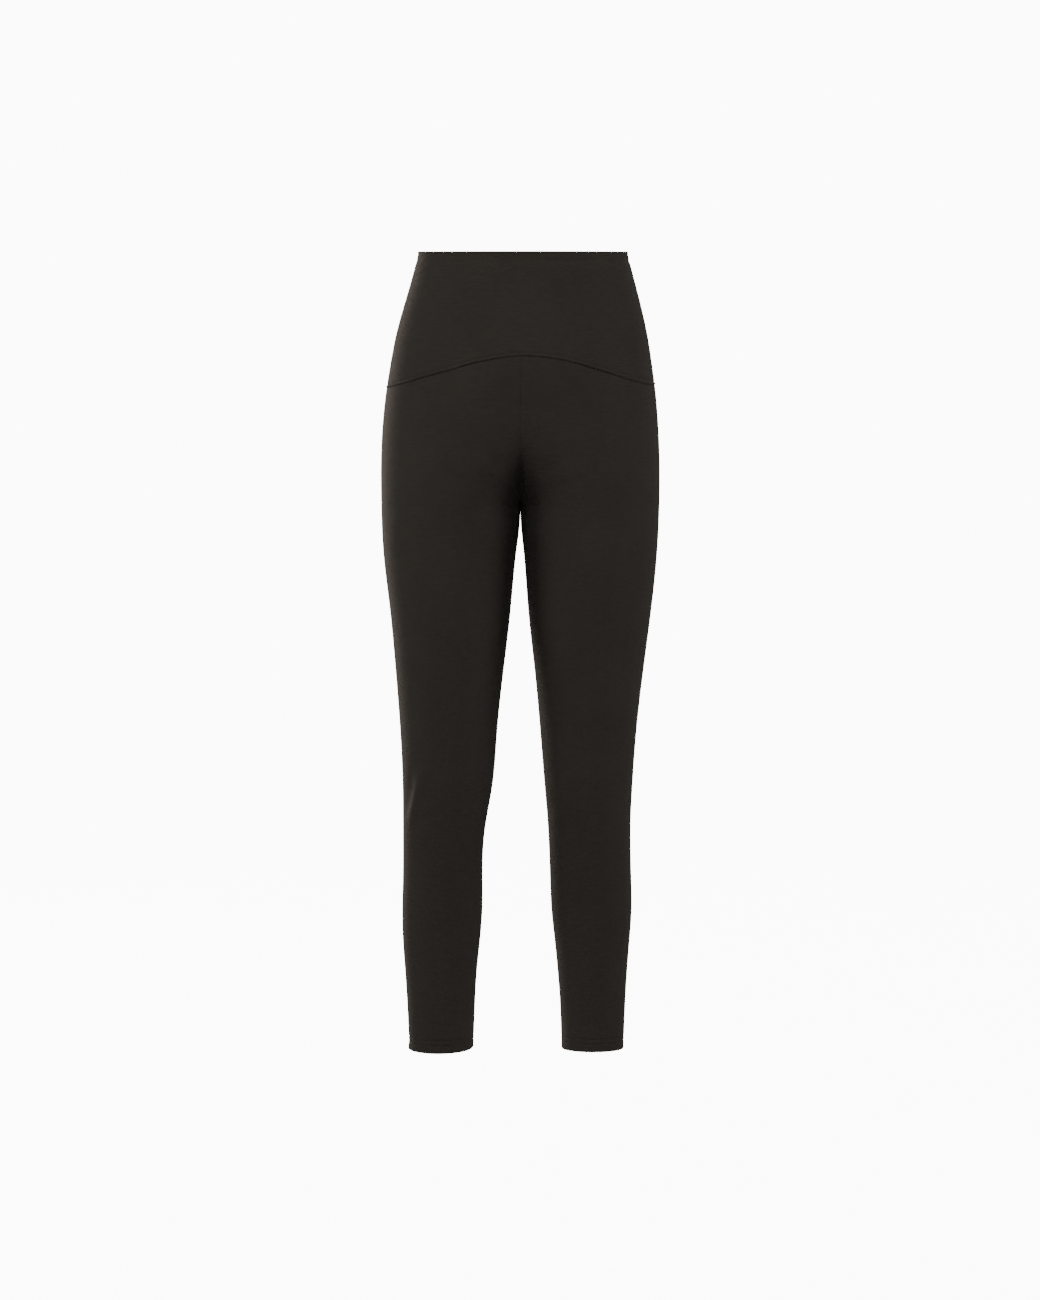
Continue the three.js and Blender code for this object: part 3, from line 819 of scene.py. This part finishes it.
def yoke(panel):
    """A yoke's grids: from the fold of the waist edge down to the yoke seam."""
    halves = []
    for leg in ("right", "left"):
        length_at, lost_at, face_at = sections(leg, panel, 0)
        side_length = float(length_at(np.array(YOKE_BACK_Z)))
        share = np.linspace(0, 1, PANEL_COLUMNS)
        even = share * (side_length - PANEL_EDGE)
        across = np.concatenate([even, side_length - np.array(SEAM_STEPS)[::-1]]) / side_length
        low = yoke_seam_z(leg, panel, across) + HALF_GAP
        edge = -WAIST_SAG * (1 - across**3) * (panel == "front")
        rows = [edge - depth for depth in (*WAIST_STEPS, WAIST_DETAIL)]
        for i in range(1, YOKE_ROWS):
            rows.append(edge - WAIST_DETAIL + (low + PANEL_EDGE + WAIST_DETAIL - edge) * i / YOKE_ROWS)
        rows += [low + step for step in (PANEL_EDGE, *YOKE_STEPS[::-1])]
        z = np.array(rows)
        length = length_at(z)
        seam_columns = length[:, -1:] - np.array(SEAM_STEPS)[None, ::-1]
        out = np.concatenate([share[None] * (length[:, -1:] - PANEL_EDGE), seam_columns], axis=1)
        base = face_at(z, out)
        above_seam = z - low
        below_edge = edge - z
        toward = WEARER_SIDE[leg]
        half = (base, z, out * toward, length - out, above_seam, below_edge)
        halves.append([grid[:, ::toward] for grid in half])
    joined = [np.concatenate([right[:, :-1], left], axis=1) for right, left in zip(*halves)]
    base, z, out, to_side, above_seam, below_edge = joined
    facing = 1 if panel == "front" else -1
    inward = inward_normals(base, facing)
    middle = PANEL_COLUMNS - 1 + len(SEAM_STEPS)
    inward[:, middle, 0] = 0
    inward[:, [0, -1], 1] = 0
    inward = unit(inward)
    dip = WAIST_DIP["depth"] * np.exp(-(((below_edge - WAIST_DIP["below"]) / WAIST_DIP["width"]) ** 2))
    dip = dip * (1 - WAIST_DIP_WAVES[0][0] + waves(out, WAIST_DIP_WAVES))
    lip = WAIST_LIP["out"] * np.exp(-(((below_edge - FOLD_RADIUS) / WAIST_LIP["width"]) ** 2))
    drape = ALLOWANCE_RIDGE * plateau(to_side, ALLOWANCE) * (panel == "back") + lip - dip
    ridge = np.exp(-(((above_seam - YOKE_RIDGE["above"]) / YOKE_RIDGE["width"]) ** 2))
    uneven = 1 + waves(out, YOKE_RIDGE_WAVES)
    line = np.exp(-(((above_seam - YOKE_LINE["above"]) / YOKE_LINE["width"]) ** 2))
    ridge = YOKE_RIDGE["height"] * ridge * uneven - YOKE_LINE["depth"] * line
    detail = ridge - np.maximum(roll(to_side, SEAM_ROLL), roll(above_seam, YOKE_ROLL))
    laid = base - inward * drape[..., None]
    face = laid - inward * detail[..., None]
    back = laid + inward * CLOTH
    turned = [i for i in range(len(z)) if below_edge[i, 0] <= WAIST_TURN + 0.01]
    turned_face, turned_back = turned_edge(face[::-1], inward[::-1], [-1 - i for i in turned], 1)
    places = np.stack([out, z], axis=-1)
    turned_places = np.stack([out[turned], z[turned] + 2 * below_edge[turned]], axis=-1)
    at_fold = np.stack([out[:1], (z + below_edge)[:1]], axis=-1)
    fold_places = np.repeat(at_fold, FOLD_STEPS, 0)
    return {
        "face": np.concatenate([turned_face[::-1], face]),
        "back": np.concatenate([turned_back[::-1], back]),
        "places": np.concatenate([turned_places[::-1], fold_places, places]),
        "laid": laid,
        "inward": inward,
        "z": z,
        "out": out,
        "to side": to_side,
        "above seam": above_seam,
        "below edge": below_edge,
        "flip": facing > 0,
    }


def yoke_allowances(panel, grids):
    """The yoke seam's allowance, pressed up behind the yoke, and on the back those of the side seams."""
    laid, inward, out, z = [grids[key] for key in ("laid", "inward", "out", "z")]
    upward = [grid[::-1].swapaxes(0, 1) for grid in (laid, inward, grids["above seam"])]
    strips = [allowance(f"{panel}_yoke_seam_allowance", *upward, out[-1])]
    if panel == "back":
        rows = grids["above seam"][:, 0] > ALLOWANCE + ALLOWANCE_GAP
        rows &= grids["below edge"][:, 0] > WAIST_TURN + ALLOWANCE_GAP
        for leg, toward in (("right", 1), ("left", -1)):
            half = [grid[rows, ::toward] for grid in (laid, inward, grids["to side"])]
            near_side = [grid[:, :PANEL_COLUMNS] for grid in half]
            strips.append(allowance(f"{leg}_yoke_side_seam_allowance", *near_side, z[rows, 0]))
    return strips


for panel in ("front", "back"):
    name = f"{panel}_yoke"
    grids = yoke(panel)
    piece = cloth_piece(name + "_cloth", *[grids[key] for key in CLOTH_GRIDS])
    dress(piece, name, yoke_allowances(panel, grids))


# The studio: a pale seamless bowl of paper, its floor 0.3 m below the hems, and six soft round
# lamps. The strongest rim lamp stands behind the wearer's right, and draws the light line there.
STUDIO_COLOR = (1, 1, 1)
PAPER_SEEN = 11  # how bright the paper looks to the camera
PAPER_LIGHT = 0.17  # how much light it throws on the garment
FLOOR_Z = -1.25
BOWL = {"floor radius": 6.5, "sweep": 2, "height": 6}


def studio_material():
    """White paper that glows evenly, and throws less light than it shows."""
    material = bpy.data.materials.new("studio paper")
    material.use_nodes = True
    tree = material.node_tree
    shader = tree.nodes["Principled BSDF"]
    rays = add_node(tree, "ShaderNodeLightPath", (-700, 0))
    glow = add_node(tree, "ShaderNodeMapRange", (-450, 0))
    glow.inputs["To Min"].default_value = PAPER_LIGHT
    glow.inputs["To Max"].default_value = PAPER_SEEN
    tree.links.new(rays.outputs["Is Camera Ray"], glow.inputs["Value"])
    tree.links.new(glow.outputs["Result"], shader.inputs["Emission Strength"])
    shader.inputs["Base Color"].default_value = (0.4, 0.4, 0.4, 1)
    shader.inputs["Roughness"].default_value = 1
    shader.inputs["Specular IOR Level"].default_value = 0
    shader.inputs["Emission Color"].default_value = (*STUDIO_COLOR, 1)
    return material


bpy.ops.object.select_all(action="DESELECT")
bpy.ops.mesh.primitive_circle_add(vertices=96, radius=BOWL["floor radius"], fill_type="NGON",
                                  location=(0, 0, FLOOR_Z))
bowl = bpy.context.object
bowl.name = "studio_bowl"
bpy.ops.object.transform_apply(location=True)
rim = np.array([vertex.co for vertex in bowl.data.vertices])
SWEEP_STEPS = 12
rings = [rim]
for i in range(1, SWEEP_STEPS + 1):
    angle = i / SWEEP_STEPS * math.pi / 2
    ring = rim * (1 + BOWL["sweep"] * math.sin(angle) / BOWL["floor radius"])
    ring[:, 2] = FLOOR_Z + BOWL["sweep"] * (1 - math.cos(angle))
    rings.append(ring)
top_ring = rings[-1].copy()
top_ring[:, 2] = FLOOR_Z + BOWL["height"]
rings.append(top_ring)
count = len(rim)
faces = [list(range(count))]
for i in range(len(rings) - 1):
    for j in range(count):
        k = (j + 1) % count
        faces.append([i * count + j, (i + 1) * count + j, (i + 1) * count + k, i * count + k])
bowl.data.clear_geometry()
bowl.data.from_pydata(np.concatenate(rings).tolist(), [], faces)
bowl.data.polygons.foreach_set("use_smooth", [True] * len(faces))
bowl.data.materials.append(studio_material())

world = bpy.data.worlds.new("studio air")
bpy.context.scene.world = world
world.use_nodes = True
world.node_tree.nodes["Background"].inputs["Color"].default_value = (*STUDIO_COLOR, 1)
world.node_tree.nodes["Background"].inputs["Strength"].default_value = PAPER_LIGHT

RIM_COLOR = (1, 0.86, 0.72)
LIGHTS = {
    "front": {"place": (-0.2, -1.8, 1.75), "size": 1.4, "power": 34, "color": STUDIO_COLOR},
    "camera_side": {"place": (0.1, -3.4, 0.5), "size": 0.9, "power": 9, "color": STUDIO_COLOR},
    "right_side": {"place": (-3, -0.9, 0.8), "size": 1.4, "power": 57, "color": STUDIO_COLOR},
    "left_side": {"place": (3, -1.2, 0.8), "size": 1.4, "power": 52, "color": STUDIO_COLOR},
    "right_rim": {"place": (-1.8, 2.8, 0), "size": 1, "power": 73, "color": RIM_COLOR},
    "left_rim": {"place": (1.9, 2.8, 0), "size": 1, "power": 4, "color": RIM_COLOR},
}
LIGHTS_AIM = Vector((0, 0, -0.4))
for name, light in LIGHTS.items():
    place = Vector(light["place"])
    turn = (LIGHTS_AIM - place).to_track_quat("-Z", "Y").to_euler()
    bpy.ops.object.light_add(type="AREA", location=place, rotation=turn)
    lamp = bpy.context.object
    lamp.name = name
    lamp.data.shape = "DISK"
    lamp.data.size = light["size"]
    lamp.data.energy = light["power"]
    lamp.data.color = light["color"]
